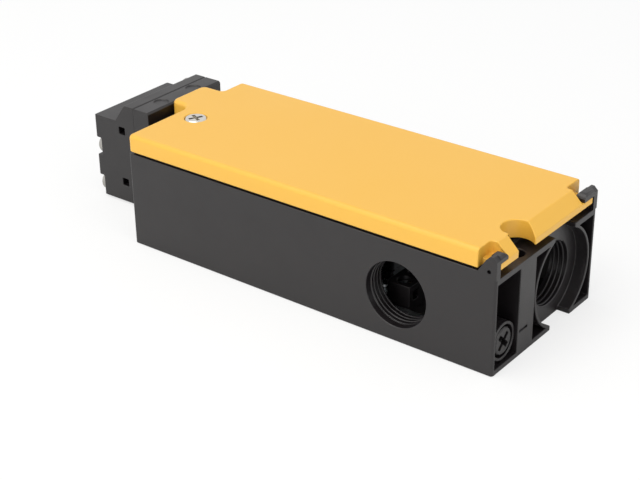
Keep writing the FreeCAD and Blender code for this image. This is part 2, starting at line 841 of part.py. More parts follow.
def cam_rotor():
    """Drum with two notched tongue discs and a spiral locking cam between them."""
    half = chamber_height / 2 - rotor_end_gap
    centre = (x_seam, y_line)
    z0 = line_height - half
    z1 = line_height + half
    drum = rod(rotor_hub, (*centre, z0), (*centre, z1))
    for low in (z0, z1 - disc_thickness):
        disc = rod(disc_radius, (*centre, low), (*centre, low + disc_thickness))
        for turn in (135, 225):
            notch = block(slot_offset - 2.1, disc_radius + 1, -2.9, 2.9, low - 1, low + disc_thickness + 1)
            notch = round_edges(notch, 1.2, lambda m, w: abs(w.z) > 0.9 and m.x < slot_offset)
            notch.rotate(Vector(0, 0, 0), Vector(0, 0, 1), turn)
            notch.translate(Vector(*centre, 0))
            disc = disc.cut(notch)
        drum = drum.fuse(disc)

    # cam: the radius falls evenly over the working turn, then a dwell and a wall
    steps = 10
    dwell = 26.0
    spiral = []
    for i in range(steps + 1):
        turn = -cam_turn * i / steps
        radius = cam_high - (cam_high - cam_low) * i / steps
        spiral.append(polar(radius, turn))
    foot = polar(cam_low, -cam_turn - dwell)
    crest = polar(cam_high, -cam_turn - dwell - 20)
    curve = Part.BSplineCurve()
    curve.interpolate(spiral)
    ramp = curve.toShape()
    floor_arc = Part.Arc(polar(cam_low, -cam_turn), polar(cam_low, -cam_turn - dwell / 2), foot).toShape()
    back = Part.makeLine(foot, crest)
    rim = Part.Arc(crest, polar(cam_high, 150), polar(cam_high, 0)).toShape()
    cam = Part.Face(Part.Wire([ramp, floor_arc, back, rim]))
    cam.translate(Vector(*centre, line_height - cam_thickness / 2))
    cam = cam.extrude(Vector(0, 0, cam_thickness))
    drum = drum.fuse(cam)
    drum = drum.cut(rod(axle_radius + running_gap, (*centre, z0 - 1), (*centre, z1 + 1)))
    return drum.removeSplitter()


def polar(radius, turn):
    angle = math.radians(turn)
    return Vector(radius * math.cos(angle), radius * math.sin(angle), 0)


def rotor_axle():
    reach = chamber_height / 2 + 2.0
    return rod(axle_radius, (x_seam, y_line, line_height - reach), (x_seam, y_line, line_height + reach))


# ---- lock rod and contacts -----------------------------------------------
def lock_rod():
    x_collar = x_wall + collar_x
    x_tail = x_wall + block_x + block_wall - rod_stroke - 1.0
    shaft = rod(rod_radius, (x_rod_tip + rod_tip_round, y_line, line_height),
                (x_tail, y_line, line_height))
    tip = rod(rod_tip_round, (x_rod_tip + rod_tip_round, y_line, line_height - 2.4),
              (x_rod_tip + rod_tip_round, y_line, line_height + 2.4))
    nose = Part.makeCone(
        rod_tip_round, rod_radius, 2.4,
        Vector(x_rod_tip + rod_tip_round, y_line, line_height), Vector(1, 0, 0)
    )
    shaft = shaft.cut(
        rod(rod_radius + 1, (x_rod_tip - 1, y_line, line_height),
            (x_rod_tip + rod_tip_round + 2.4, y_line, line_height))
    )
    collar = rod(collar_radius, (x_collar, y_line, line_height),
                 (x_collar + collar_thickness, y_line, line_height))
    return shaft.fuse([nose, tip, collar]).removeSplitter()


def block_ends():
    x0 = x_wall + block_x
    return x0, x0 + block_length


def rod_spring():
    x0 = x_wall + collar_x + collar_thickness
    x1 = block_ends()[0]
    return spring(rod_radius + 0.8, 0.45, 6, (x0, y_line, line_height), (x1, y_line, line_height))


def station_places():
    first = x_wall + block_x + 9.0
    return [first + station_pitch * i for i in range(station_count)]


def bridge_face(x):
    """Head-side face of the bridge at the station centred on x."""
    return x + 0.4


def bridge_carrier():
    """Moulded slider with one window per contact bridge."""
    x_nose = x_wall + block_x + block_wall - rod_stroke - 1.0
    x0 = block_ends()[0] + block_wall + rod_stroke + 0.6
    x1 = block_ends()[1] - block_wall - 1.0
    z0 = line_height - carrier_height / 2
    half = carrier_width / 2
    bar = block(x0, x1, y_line - half, y_line + half, z0, z0 + carrier_height)
    stem = rod(rod_radius - 0.8, (x_nose, y_line, line_height), (x0 + 1, y_line, line_height))
    bar = bar.fuse(stem)
    for x in station_places():
        x_a = bridge_face(x)
        bar = bar.cut(
            block(x_a, x_a + bridge_sheet + bridge_spring_room, y_line - half - 1, y_line + half + 1,
                  line_height - bridge_height / 2, line_height + bridge_height / 2)
        )
    return bar


def contact_bridges():
    bridges = []
    for x in station_places():
        x_a = bridge_face(x)
        bar = block(x_a, x_a + bridge_sheet, y_line - bridge_half, y_line + bridge_half,
                    line_height - bridge_height / 2, line_height + bridge_height / 2)
        bridges.append(bar)
    return group(bridges)


def bridge_springs():
    springs = []
    for x in station_places():
        x0 = bridge_face(x) + bridge_sheet
        springs.append(
            spring(1.0, 0.18, 3, (x0, y_line, line_height), (x0 + bridge_spring_room, y_line, line_height))
        )
    return group(springs)


def terminal_height():
    """Floor of the terminal bays."""
    return chassis_bottom + chassis_sheet + block_height - bay_depth


def terminal_screw_places():
    return [(x, y_line + side * (bridge_half + 2.6)) for x in station_places() for side in (-1, 1)]


def contact_block():
    """Open-topped block with a channel for the slider and walled terminals."""
    x0, x1 = block_ends()
    z0 = chassis_bottom + chassis_sheet
    z1 = z0 + block_height
    shell = block(x0, x1, y_line - block_half, y_line + block_half, z0, z1)
    shell = round_edges(shell, 0.8, lambda m, w: abs(w.z) > 0.9)
    half = carrier_width / 2
    channel = block(
        x0 + block_wall, x1 - block_wall, y_line - half - 0.25, y_line + half + 0.25,
        line_height - carrier_height / 2 - 0.25, z1 + 1,
    )
    shell = shell.cut(channel)
    shell = shell.cut(
        rod(rod_radius - 0.8 + 0.3, (x0 - 1, y_line, line_height), (x0 + 4, y_line, line_height))
    )
    for x in station_places():
        # room for the bridge below, and the terminal bays open at the top
        shell = shell.cut(
            block(x - bay_half, x + bay_half, y_line - bridge_half - 0.5, y_line + bridge_half + 0.5,
                  line_height - bridge_height / 2 - 0.6, z1 + 1)
        )
        for side in (-1, 1):
            y_a = y_line + side * bridge_half
            y_b = y_line + side * (block_half + 1)
            shell = shell.cut(
                block(x - bay_half, x + bay_half, min(y_a, y_b), max(y_a, y_b), terminal_height(), z1 + 1)
            )
    for x, y in terminal_screw_places():
        shell = shell.cut(rod(terminal_screw_radius, (x, y, terminal_height() - 4), (x, y, z1)))
    return shell.removeSplitter()


def fixed_contacts():
    """Stamped strips, from beside each bridge up to its terminal screw."""
    z_top = terminal_height()
    strips = []
    for index, x in enumerate(station_places()):
        closed_at_rest = index % 2 == 0
        x_a = bridge_face(x) - rod_stroke - contact_gap - contact_strip
        if closed_at_rest:
            x_a = bridge_face(x) + bridge_sheet + contact_gap
        for side in (-1, 1):
            y_in = y_line + side * (bridge_half - 2.4)
            y_out = y_line + side * (bridge_half + 0.3)
            upright = block(x_a, x_a + contact_strip, min(y_in, y_out), max(y_in, y_out),
                            line_height - bridge_height / 2, z_top + contact_strip)
            y_far = y_line + side * (block_half - 1.0)
            top = block(x - bay_half + 0.4, x + bay_half - 0.4, min(y_in, y_far), max(y_in, y_far),
                        z_top, z_top + contact_strip)
            y_screw = y_line + side * (bridge_half + 2.6)
            hole = rod(terminal_screw_radius, (x, y_screw, z_top - 1), (x, y_screw, z_top + 2))
            strips.append(upright.fuse(top).cut(hole).removeSplitter())
    return group(strips)


def terminal_screws():
    z_seat = terminal_height() + contact_strip
    screws = []
    for x, y in terminal_screw_places():
        head = pan_head(terminal_head, terminal_head_height, (x, y, z_seat), (0, 0, 1))
        shank = rod(terminal_screw_radius, (x, y, z_seat - 4.2), (x, y, z_seat + 0.3))
        screws.append(head.fuse(shank))
    return group(screws)


# ---- chassis, lock lever and solenoid ------------------------------------
def chassis():
    z0 = chassis_bottom
    z1 = z0 + chassis_sheet
    x0 = x_wall + chassis_start
    x1 = x_wall + chassis_end
    sheet = block(x0, x1, y_front + chassis_front, y_back - chassis_back, z0, z1)
    x_front = x_wall + solenoid_x
    front = block(x_front, x_front + solenoid_length - 2, y_front + solenoid_line - 4,
                  y_front + chassis_front + 1, z0, z1)
    sheet = sheet.fuse(front)
    x_screw = x_wall + cover_screw_x
    y_screw = y_line - cover_screw_y
    sheet = sheet.cut(
        rod(insert_radius + chassis_column_gap, (x_screw, y_screw, z0), (x_screw, y_screw, z1))
    )
    y_sol = y_front + solenoid_line
    yoke_bottom = solenoid_height - flange_radius - 0.1 - yoke_floor
    pad_ends = (x_front + pad_inset, x_front + solenoid_length - pad_inset - pad_length)
    for x in pad_ends:
        sheet = sheet.fuse(block(x, x + pad_length, y_sol - pad_front, y_sol + pad_back, z0, yoke_bottom))
    x_lever = x_wall + lever_x
    y_lever = y_line - lever_y_drop
    post_top_z = lever_bottom - tooth_gap
    sheet = sheet.fuse(rod(chassis_post, (x_lever, y_lever, z0), (x_lever, y_lever, post_top_z)))
    sheet = sheet.cut(rod(lever_pin_radius, (x_lever, y_lever, z0), (x_lever, y_lever, lever_bottom)))
    for x, y in chassis_screw_places():
        sheet = sheet.cut(rod(chassis_hole, (x, y, z0), (x, y, z1)))
    return sheet.removeSplitter()


def chassis_screws():
    z = chassis_bottom + chassis_sheet
    screws = []
    for x, y in chassis_screw_places():
        head = pan_head(2.7, 1.9, (x, y, z), (0, 0, 1))
        screws.append(head.fuse(rod(1.2, (x, y, 1.4), (x, y, z + 0.3))))
    return group(screws)


def lever_pin():
    x = x_wall + lever_x
    y = y_line - lever_y_drop
    pin = rod(lever_pin_radius, (x, y, chassis_bottom + 0.2), (x, y, lever_top + 1.2))
    clip = tube(2.6, lever_pin_radius - 0.4, (x, y, lever_top + 0.3), (x, y, lever_top + 0.8))
    return pin.fuse(clip)


def lock_lever():
    """Two-armed lever, drawn locking, then turned to its withdrawn rest."""
    x = x_wall + lever_x
    y = y_line - lever_y_drop
    x_tooth = x_wall + collar_x - (rod_stroke - collar_thickness) / 2
    y_tip = y_line - rod_radius - tooth_gap
    half = lever_arm_width / 2
    y_arm = y_front + solenoid_line - 3.0
    hub = rod(lever_hub, (x, y, lever_bottom), (x, y, lever_top))
    low = lever_bottom
    high = lever_bottom + lever_plate
    lock_arm = block(x_tooth, x, y - half, y + half, low, high)
    tooth = block(x_tooth - tooth_thickness / 2, x_tooth + tooth_thickness / 2, y - half, y_tip, low, high)
    push_arm = block(x - half, x + half, y_arm, y, lever_top - push_arm_height, lever_top)
    lever = hub.fuse([lock_arm, tooth, push_arm])
    lever = lever.cut(
        rod(lever_pin_radius + running_gap, (x, y, low - 1), (x, y, lever_top + 1))
    )
    lever = round_edges(lever.removeSplitter(), 0.5, lambda m, w: abs(w.z) > 0.9 and m.y < y_arm + 0.1)
    lever.rotate(Vector(x, y, 0), Vector(0, 0, 1), lever_swing)
    return lever


def lever_travel():
    """Travel of the push pin that turns the lever through its whole swing."""
    return lever_sweep + lever_side - lever_arm_width / 2


def solenoid_axis():
    return y_front + solenoid_line, solenoid_height


def solenoid_yoke():
    y, z = solenoid_axis()
    x0 = x_wall + solenoid_x
    x1 = x0 + solenoid_length
    half = yoke_width / 2
    z0 = z - flange_radius - 0.1 - yoke_floor
    z1 = z + flange_radius + 0.4
    frame = block(x0, x1, y - half, y + half, z0, z0 + yoke_floor)
    for x in (x0, x1 - yoke_sheet):
        cheek = block(x, x + yoke_sheet, y - half, y + half, z0, z1)
        cheek = round_edges(cheek, 2.0, lambda m, w: abs(w.x) > 0.9 and m.z > z1 - 0.1)
        frame = frame.fuse(cheek)
    frame = frame.cut(rod(armature_radius, (x0 - 1, y, z), (x0 + yoke_sheet + 1, y, z)))
    frame = frame.cut(rod(tail_radius + 0.3, (x1 - yoke_sheet - 1, y, z), (x1 + 1, y, z)))
    return frame.removeSplitter()


def bobbin_ends():
    x0 = x_wall + solenoid_x + yoke_sheet + 0.1
    x1 = x_wall + solenoid_x + solenoid_length - yoke_sheet - 0.1
    return x0, x1


def solenoid_bobbin():
    y, z = solenoid_axis()
    x0, x1 = bobbin_ends()
    spool = rod(bobbin_bore + bobbin_wall, (x0, y, z), (x1, y, z))
    spool = spool.fuse(rod(flange_radius, (x0, y, z), (x0 + bobbin_flange, y, z)))
    spool = spool.fuse(rod(flange_radius, (x1 - bobbin_flange, y, z), (x1, y, z)))
    return spool.cut(rod(bobbin_bore, (x0 - 1, y, z), (x1 + 1, y, z)))


def solenoid_coil():
    y, z = solenoid_axis()
    x0, x1 = bobbin_ends()
    inner = bobbin_bore + bobbin_wall
    return tube(coil_radius, inner, (x0 + bobbin_flange, y, z), (x1 - bobbin_flange, y, z))


def solenoid_core():
    y, z = solenoid_axis()
    x0 = x_wall + solenoid_x
    return tube(armature_radius, push_pin_radius + 0.1, (x0, y, z), (x0 + core_length, y, z))


def armature():
    y, z = solenoid_axis()
    x0 = x_wall + solenoid_x + core_length + air_gap
    x1 = bobbin_ends()[1] - 0.6
    x2 = x_wall + solenoid_x + solenoid_length + return_spring_length
    slug = rod(armature_radius, (x0, y, z), (x1, y, z))
    tail = rod(tail_radius, (x1, y, z), (x2 + 0.4, y, z))
    return slug.fuse(tail)


def armature_collar():
    y, z = solenoid_axis()
    x0 = x_wall + solenoid_x + solenoid_length + return_spring_length
    disc = rod(tail_collar_radius, (x0, y, z), (x0 + tail_collar, y, z))
    return disc.cut(rod(tail_radius, (x0 - 1, y, z), (x0 + 0.4, y, z)))


def push_pin():
    y, z = solenoid_axis()
    x_arm = x_wall + lever_x
    x_face = x_arm + lever_sweep + lever_side
    x0 = x_face + 0.35
    x1 = x_wall + solenoid_x + core_length + air_gap
    return rod(push_pin_radius, (x0, y, z), (x1, y, z))


def armature_spring():
    y, z = solenoid_axis()
    x0 = x_wall + solenoid_x + solenoid_length
    return spring(tail_radius + 0.8, spring_wire, 4, (x0, y, z), (x0 + return_spring_length, y, z))


def coil_terminal_block():
    length, width, height = coil_block_size
    x0 = x_wall + coil_block_x
    y0 = y_strip_in + coil_block_gap
    z0 = floor
    body = block(x0, x0 + length, y0, y0 + width, z0, z0 + height + 1.6)
    for y in (y0 + width * 0.27, y0 + width * 0.73):
        body = body.cut(rod(2.2, (x0 + length / 2, y, z0 + height - 1.2), (x0 + length / 2, y, z0 + 20)))
        body = body.cut(block(x0 + length / 2, x0 + length + 1, y - 1.4, y + 1.4, z0 + 3.0, z0 + 6.0))
    return round_edges(body, 0.5, lambda m, w: abs(w.z) > 0.9 and m.x < x0 + 0.1)


def coil_terminal_screws():
    length, width, height = coil_block_size
    x = x_wall + coil_block_x + length / 2
    y0 = y_strip_in + coil_block_gap
    z = floor + height - 1.2
    places = (y0 + width * 0.27, y0 + width * 0.73)
    return group([pan_head(2.0, 1.6, (x, y, z), (0, 0, 1)) for y in places])


# ---- auxiliary release ---------------------------------------------------
def release_axis():
    return y_front + release_line, release_height


def release_screw():
    y, z = release_axis()
    x0 = x_end - pocket_depth + 0.2
    x1 = x0 + release_screw_length + 1.1
    head = rod(release_screw_radius, (x0, y, z), (x1, y, z))
    rim = [e for e in head.Edges if e.BoundBox.XMin > x1 - 0.01]
    head = head.makeChamfer(0.4, rim)
    for turn in (45, 135):
        slot = block(x1 - 2.2, x1 + 1, -0.75, 0.75, -3.0, 3.0)
        slot.rotate(Vector(0, 0, 0), Vector(1, 0, 0), turn)
        slot.translate(Vector(0, y, z))
        head = head.cut(slot)
    head = head.cut(tube(release_screw_radius + 1, release_screw_radius - 0.7,
                         (x0 + 1.4, y, z), (x0 + 2.9, y, z)))
    x_barrel = x_cavity_end - barrel_gap - barrel_length
    stem = rod(release_stem, (x_cavity_end - barrel_gap, y, z), (x0 + 0.3, y, z))
    core = rod(1.2, (x_barrel + 1.0, y, z), (x_cavity_end, y, z))
    return head.fuse([stem, core]).removeSplitter()


def release_o_ring():
    y, z = release_axis()
    x = x_end - pocket_depth + 0.2 + 1.5
    return tube(release_screw_radius + 0.5, release_screw_radius - 0.7, (x, y, z), (x + 1.3, y, z))


def release_barrel():
    """Barrel cam: a helical groove turns 90 degrees into the strip's travel."""
    y, z = release_axis()
    x1 = x_cavity_end - barrel_gap
    x0 = x1 - barrel_length
    barrel = rod(barrel_radius, (x0, y, z), (x1, y, z))
    drillings = 13
    for i in range(drillings):
        share = i / (drillings - 1)
        angle = math.radians(-release_turn * share)
        x = x0 + 2.0 + release_travel * share
        way = Vector(0, math.cos(angle), math.sin(angle))
        start = Vector(x, y, z) + way * (barrel_radius - 1.4)
        barrel = barrel.cut(Part.makeCylinder(strip_follower + 0.35, 3, start, way))
    return barrel.cut(rod(1.2, (x0 + 1.0, y, z), (x1 + 1, y, z)))


def release_strip():
    """Flat slide on the floor, from the barrel cam to the armature's collar."""
    y, z = release_axis()
    y_axis = y_front + solenoid_line
    y_hook = y_axis - hook_gap - hook_width
    x_pin = x_cavity_end - barrel_gap - barrel_length + 2.0
    y0 = y_strip_in - 1.0
    x_hook = x_wall + solenoid_x + solenoid_length + 0.5
    bar = block(x_hook, x_pin + 1.4, y_strip_out, y_strip_in, floor + 0.1, floor + 1.1)
    foot = block(x_hook, x_hook + 1.0, y_hook, y_strip_in, floor + 0.1, floor + 1.1)
    ear = block(x_pin - 1.4, x_pin + 1.4, y0, y0 + 1.0, floor + 0.1, z + 1.6)
    pin = rod(strip_follower, (x_pin, y0 + 0.5, z), (x_pin, y + barrel_radius - 1.0, z))
    hook = block(x_hook, x_hook + 1.0, y_hook, y_hook + hook_width, floor + 0.1, solenoid_height + 2.0)
    return bar.fuse([foot, ear, pin, hook]).removeSplitter()


# ---- write one file per piece --------------------------------------------
pieces = [
    base_housing, cover, cover_gasket, cover_screw, cover_screw_ring, cover_insert,
    head_cap, head_base, head_screws, neck_screws, slot_plug, cam_rotor, rotor_axle,
    lock_rod, rod_spring, bridge_carrier, contact_bridges, bridge_springs,
    contact_block, fixed_contacts, terminal_screws, chassis, chassis_screws,
    lever_pin, lock_lever, solenoid_yoke, solenoid_bobbin, solenoid_coil,
    solenoid_core, armature, armature_collar, push_pin, armature_spring,
    coil_terminal_block, coil_terminal_screws, release_screw, release_o_ring,
    release_barrel, release_strip,
]

os.makedirs("parts", exist_ok=True)
for make in pieces:
    shape = make()
    shape.exportStep("parts/" + make.__name__ + ".step")
    solids = len(shape.Solids)
    print(f"{make.__name__:22s} solids {solids} volume {shape.Volume:9.1f} valid {shape.isValid()}")
print(f"push pin travel {lever_travel():.3f} rod stroke {rod_stroke:.3f}")
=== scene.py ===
import json
import math

import bmesh
import bpy
from mathutils import Matrix, Vector

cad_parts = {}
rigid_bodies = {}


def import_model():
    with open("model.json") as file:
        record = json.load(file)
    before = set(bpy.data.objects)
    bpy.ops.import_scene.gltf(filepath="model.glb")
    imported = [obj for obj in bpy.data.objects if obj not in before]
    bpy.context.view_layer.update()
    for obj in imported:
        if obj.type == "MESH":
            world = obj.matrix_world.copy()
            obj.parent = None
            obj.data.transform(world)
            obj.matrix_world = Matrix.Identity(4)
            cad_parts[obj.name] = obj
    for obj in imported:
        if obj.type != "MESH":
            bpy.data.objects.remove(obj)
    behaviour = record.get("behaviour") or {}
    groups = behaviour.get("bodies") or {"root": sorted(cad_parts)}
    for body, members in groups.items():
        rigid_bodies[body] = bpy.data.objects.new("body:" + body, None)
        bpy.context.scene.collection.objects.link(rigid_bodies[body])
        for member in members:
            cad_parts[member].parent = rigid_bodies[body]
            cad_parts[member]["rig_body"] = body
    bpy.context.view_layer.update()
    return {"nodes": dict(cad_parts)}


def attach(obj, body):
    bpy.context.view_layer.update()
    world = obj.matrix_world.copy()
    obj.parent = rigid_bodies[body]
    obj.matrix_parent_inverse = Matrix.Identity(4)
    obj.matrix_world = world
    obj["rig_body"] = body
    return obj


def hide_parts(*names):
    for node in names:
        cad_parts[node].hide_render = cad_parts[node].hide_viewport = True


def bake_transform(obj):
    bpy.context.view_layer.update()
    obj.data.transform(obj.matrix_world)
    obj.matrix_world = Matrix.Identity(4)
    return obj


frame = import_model()


# ---- studio ---------------------------------------------------------------
# A product table: a matt white sheet under the switch, a large softbox
# overhead towards the front, and weaker ones at the front and the cable end.
def linear(hex_colour):
    """An sRGB hex colour as linear RGBA."""
    channels = [int(hex_colour[i:i + 2], 16) / 255 for i in (1, 3, 5)]
    opaque = 1.0
    return [c / 12.92 if c <= 0.04045 else ((c + 0.055) / 1.055) ** 2.4 for c in channels] + [opaque]


def add_node(tree, kind, inputs=None, **settings):
    """Adds a node. inputs maps socket names or numbers to values or to other nodes' outputs."""
    made = tree.nodes.new(kind)
    for key, value in settings.items():
        setattr(made, key, value)
    for key, value in (inputs or {}).items():
        if isinstance(value, bpy.types.NodeSocket):
            tree.links.new(value, made.inputs[key])
        else:
            made.inputs[key].default_value = value
    return made


def maths(tree, kind, a, b):
    """One sum on two numbers or outputs, as an output."""
    return add_node(tree, "ShaderNodeMath", {0: a, 1: b}, operation=kind).outputs[0]


def empty_material(name):
    """A material with only its output, and that output."""
    material = bpy.data.materials.new(name)
    material.use_nodes = True
    material.node_tree.nodes.clear()
    return material, add_node(material.node_tree, "ShaderNodeOutputMaterial")


def white_to_eye(tree, lit, white):
    """Plain white to the camera, reflections and see-through rays, and the lit shader to the rest."""
    path = add_node(tree, "ShaderNodeLightPath")
    seen = maths(tree, "MAXIMUM", path.outputs["Is Camera Ray"], path.outputs["Is Glossy Ray"])
    seen = maths(tree, "MAXIMUM", seen, path.outputs["Is Transmission Ray"])
    return add_node(tree, "ShaderNodeMixShader", {0: seen, 1: lit, 2: white})


def build_studio():
    scene = bpy.context.scene
    scene.view_settings.view_transform = "Standard"

    world = bpy.data.worlds.new("studio_air")
    scene.world = world
    world.use_nodes = True
    tree = world.node_tree
    tree.nodes.clear()
    ambient = add_node(tree, "ShaderNodeBackground", {"Color": linear("#F4F6FA"), "Strength": 0.58})
    white = add_node(tree, "ShaderNodeBackground", {"Color": (1, 1, 1, 1), "Strength": 1.0})
    shown = white_to_eye(tree, ambient.outputs[0], white.outputs[0])
    add_node(tree, "ShaderNodeOutputWorld", {"Surface": shown.outputs[0]})

    table_size = 6.0
    table_drop = 0.0002
    bpy.ops.mesh.primitive_plane_add(size=table_size, location=(0, 0, -table_drop))
    table = bpy.context.object
    table.name = "table_sheet"
    paper, output = empty_material("matt_white_paper")
    diffuse = add_node(paper.node_tree, "ShaderNodeBsdfDiffuse", {"Color": linear("#FBFBFA")})
    # a glow that only the camera sees lifts the shadows on the sheet towards white
    glow_share = 0.7
    glow = add_node(paper.node_tree, "ShaderNodeEmission", {"Color": (1, 1, 1, 1), "Strength": 1.0})
    path = add_node(paper.node_tree, "ShaderNodeLightPath")
    share = maths(paper.node_tree, "MULTIPLY", path.outputs["Is Camera Ray"], glow_share)
    lifted = add_node(paper.node_tree, "ShaderNodeMixShader", {
        0: share, 1: diffuse.outputs[0], 2: glow.outputs[0]})
    paper.node_tree.links.new(lifted.outputs[0], output.inputs["Surface"])
    table.data.materials.append(paper)

    softboxes = [
        # name, place, aimed at, size, watts
        ("overhead_softbox", (-0.10, -0.30, 0.85), (0, 0, 0.02), 0.80, 5.0),
        ("cable_end_softbox", (0.95, -0.25, 0.45), (0.05, 0, 0.02), 0.60, 1.8),
        ("front_softbox", (-0.15, -1.00, 0.30), (0, 0, 0.02), 0.70, 2.4),
    ]
    for name, place, target, size, watts in softboxes:
        lamp = bpy.data.lights.new(name, "AREA")
        lamp.size = size
        lamp.energy = watts
        lamp.color = linear("#FFFDF8")[:3]
        holder = bpy.data.objects.new(name, lamp)
        holder.location = place
        holder.rotation_mode = "QUATERNION"
        holder.rotation_quaternion = (Vector(target) - Vector(place)).to_track_quat("-Z", "Y")
        scene.collection.objects.link(holder)

    # long lens, from the front and the cable end, looking down by about 28 degrees
    camera = bpy.data.objects.new("camera", bpy.data.cameras.new("camera"))
    camera.data.lens = 83.1
    camera.data.sensor_width = 36.0
    camera.data.clip_start = 0.01
    stands_at = (0.2590, -0.3244, 0.2215)
    looks = Vector((-0.54739, 0.69706, -0.46312)).normalized()
    up = Vector((-0.27456, 0.37317, 0.88620))
    across = looks.cross(up).normalized()
    up = across.cross(looks)
    turn = Matrix((across, up, -looks)).transposed().to_4x4()
    camera.matrix_world = Matrix.Translation(stands_at) @ turn
    scene.collection.objects.link(camera)
    scene.camera = camera


build_studio()


# ---- base housing ---------------------------------------------------------
# Deep tray of black glass-filled polyamide, injection moulded in one piece
# with its end pockets, hook posts, ears and cable entries.
def uneven(tree, noise, colour, other_colour, smoothest, roughest):
    """A colour and a roughness that both drift with a noise."""
    # sockets 6 and 7 of the mix are its two colours, and output 2 is the mixed colour
    tint = add_node(tree, "ShaderNodeMix", {0: noise.outputs["Fac"]}, data_type="RGBA")
    tint.inputs[6].default_value = linear(colour)
    tint.inputs[7].default_value = linear(other_colour)
    # most of the noise lies between 0.3 and 0.7
    gloss = add_node(tree, "ShaderNodeMapRange", {
        "Value": noise.outputs["Fac"], "From Min": 0.3, "From Max": 0.7, "To Min": smoothest,
        "To Max": roughest})
    return tint.outputs[2], gloss.outputs["Result"]


def moulded_plastic(name, colour, deep_colour, grain_mm, grain_depth_mm, roughness, gloss_spread=0.05,
                    mottle_mm=14.0):
    """Moulded polymer: fine spark-eroded grain, faint flow mottling and uneven gloss."""
    material, output = empty_material(name)
    tree = material.node_tree
    place = add_node(tree, "ShaderNodeTexCoord").outputs["Object"]
    flow = add_node(tree, "ShaderNodeTexNoise", {
        "Vector": place, "Scale": 1000 / mottle_mm, "Detail": 4.0, "Roughness": 0.55})
    tint, gloss = uneven(tree, flow, colour, deep_colour, roughness - gloss_spread, roughness + gloss_spread)
    grain = add_node(tree, "ShaderNodeTexNoise", {
        "Vector": place, "Scale": 1000 / grain_mm, "Detail": 2.0, "Roughness": 0.6})
    bump = add_node(tree, "ShaderNodeBump", {
        "Height": grain.outputs["Fac"], "Strength": 1.0, "Distance": grain_depth_mm / 1000})
    polymer_index = 1.53
    skin = add_node(tree, "ShaderNodeBsdfPrincipled", {
        "Base Color": tint, "Roughness": gloss, "IOR": polymer_index, "Normal": bump.outputs["Normal"]})
    tree.links.new(skin.outputs[0], output.inputs["Surface"])
    return material


def flatten(piece):
    """Gives a piece the plain mesh that its modifiers make."""
    graph = bpy.context.evaluated_depsgraph_get()
    plain = bpy.data.meshes.new_from_object(piece.evaluated_get(graph), depsgraph=graph)
    plain.name = piece.name
    piece.modifiers.clear()
    piece.data = plain


def settle(piece, material, *nodes, rides=True):
    """Flattens a piece and puts it in place of the nodes, in its material. It rides on
    their body, unless rides is false, as for a spring between two bodies."""
    flatten(piece)
    piece.data.materials.clear()
    piece.data.materials.append(material)
    if rides:
        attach(piece, frame["nodes"][nodes[0]]["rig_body"])
    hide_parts(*nodes)


# points nearer than this, in metres, are one point, and edges that turn by more show as edges
SAME_POINT = 1e-6
SHARP_ABOVE = math.radians(32)


def solid_copy(node, material, edge_mm, left_sharp=None):
    """A CAD node's mesh, merged and cleaned, with its sharp edges rounded; it replaces the node.
    Edges whose middle passes left_sharp keep the CAD's own shape."""
    flat_within = math.radians(0.6)
    rounded_above = math.radians(35)
    mesh = frame["nodes"][node].data.copy()
    work = bmesh.new()
    work.from_mesh(mesh)
    bmesh.ops.remove_doubles(work, verts=work.verts, dist=SAME_POINT)
    bmesh.ops.dissolve_limit(work, angle_limit=flat_within, verts=work.verts, edges=work.edges)
    weight = work.edges.layers.float.new("bevel_weight_edge")
    for edge in work.edges:
        middle = (edge.verts[0].co + edge.verts[1].co) / 2
        turned = len(edge.link_faces) == 2 and edge.calc_face_angle(0.0) > rounded_above
        edge[weight] = 1.0 if turned and not (left_sharp and left_sharp(middle)) else 0.0
    for face in work.faces:
        face.smooth = True
    work.to_mesh(mesh)
    work.free()
    mesh.set_sharp_from_angle(angle=SHARP_ABOVE)
    piece = bpy.data.objects.new(node + "_finished", mesh)
    bpy.context.scene.collection.objects.link(piece)
    rounding = piece.modifiers.new("edge_rounding", "BEVEL")
    rounding.width = edge_mm / 1000
    rounding.segments = 2
    rounding.limit_method = "WEIGHT"
    rounding.use_clamp_overlap = False
    rounding.miter_outer = "MITER_ARC"
    flat = piece.modifiers.new("flat_faces_stay_flat", "WEIGHTED_NORMAL")
    flat.keep_sharp = True
    settle(piece, material, node)


def housing_left_sharp(place):
    """Three regions, in metres: the hook posts and the ears' outer corners, which the CAD rounds already,
    and the mark on the web at the cable end."""
    post = place.x > 0.0780 and (place.z > 0.0318 or (abs(place.y) > 0.0240 and place.z > 0.0280))
    corner = place.x < -0.0485 and abs(place.y) > 0.0262 and 0.0055 < place.z < 0.0065
    mark = place.x > 0.0840 and -0.0145 < place.y < -0.0090 and 0.0070 < place.z < 0.0090
    return post or corner or mark


# black with a satin grain, as on moulded nylon, which paint wouldn't have
black_polyamide = moulded_plastic("black_glass_filled_polyamide", "#181416", "#141113", grain_mm=0.30,
                                  grain_depth_mm=0.012, roughness=0.42)
solid_copy("base_housing", black_polyamide, edge_mm=0.20, left_sharp=housing_left_sharp)


# ---- cover ----------------------------------------------------------------
# Yellow polyamide lid with a tab over the neck and a bevelled toe under the
# hooks; its outer faces have a fine matt grain, so light spreads softly.
def cover_left_sharp(place):
    """Where the notch over the mounting screw runs into the cut for the hook, the edges are too short
    for the rounding."""
    return place.x > 0.0798 and abs(place.y + 0.016) < 0.0012 and place.z > 0.0365


# warm, even yellow right through, with only the faintest change of tone
yellow_polyamide = moulded_plastic("yellow_polyamide", "#EDB745", "#ECB543", grain_mm=0.35,
                                   grain_depth_mm=0.008, roughness=0.42, gloss_spread=0.02, mottle_mm=40.0)
solid_copy("cover", yellow_polyamide, edge_mm=0.25, left_sharp=cover_left_sharp)


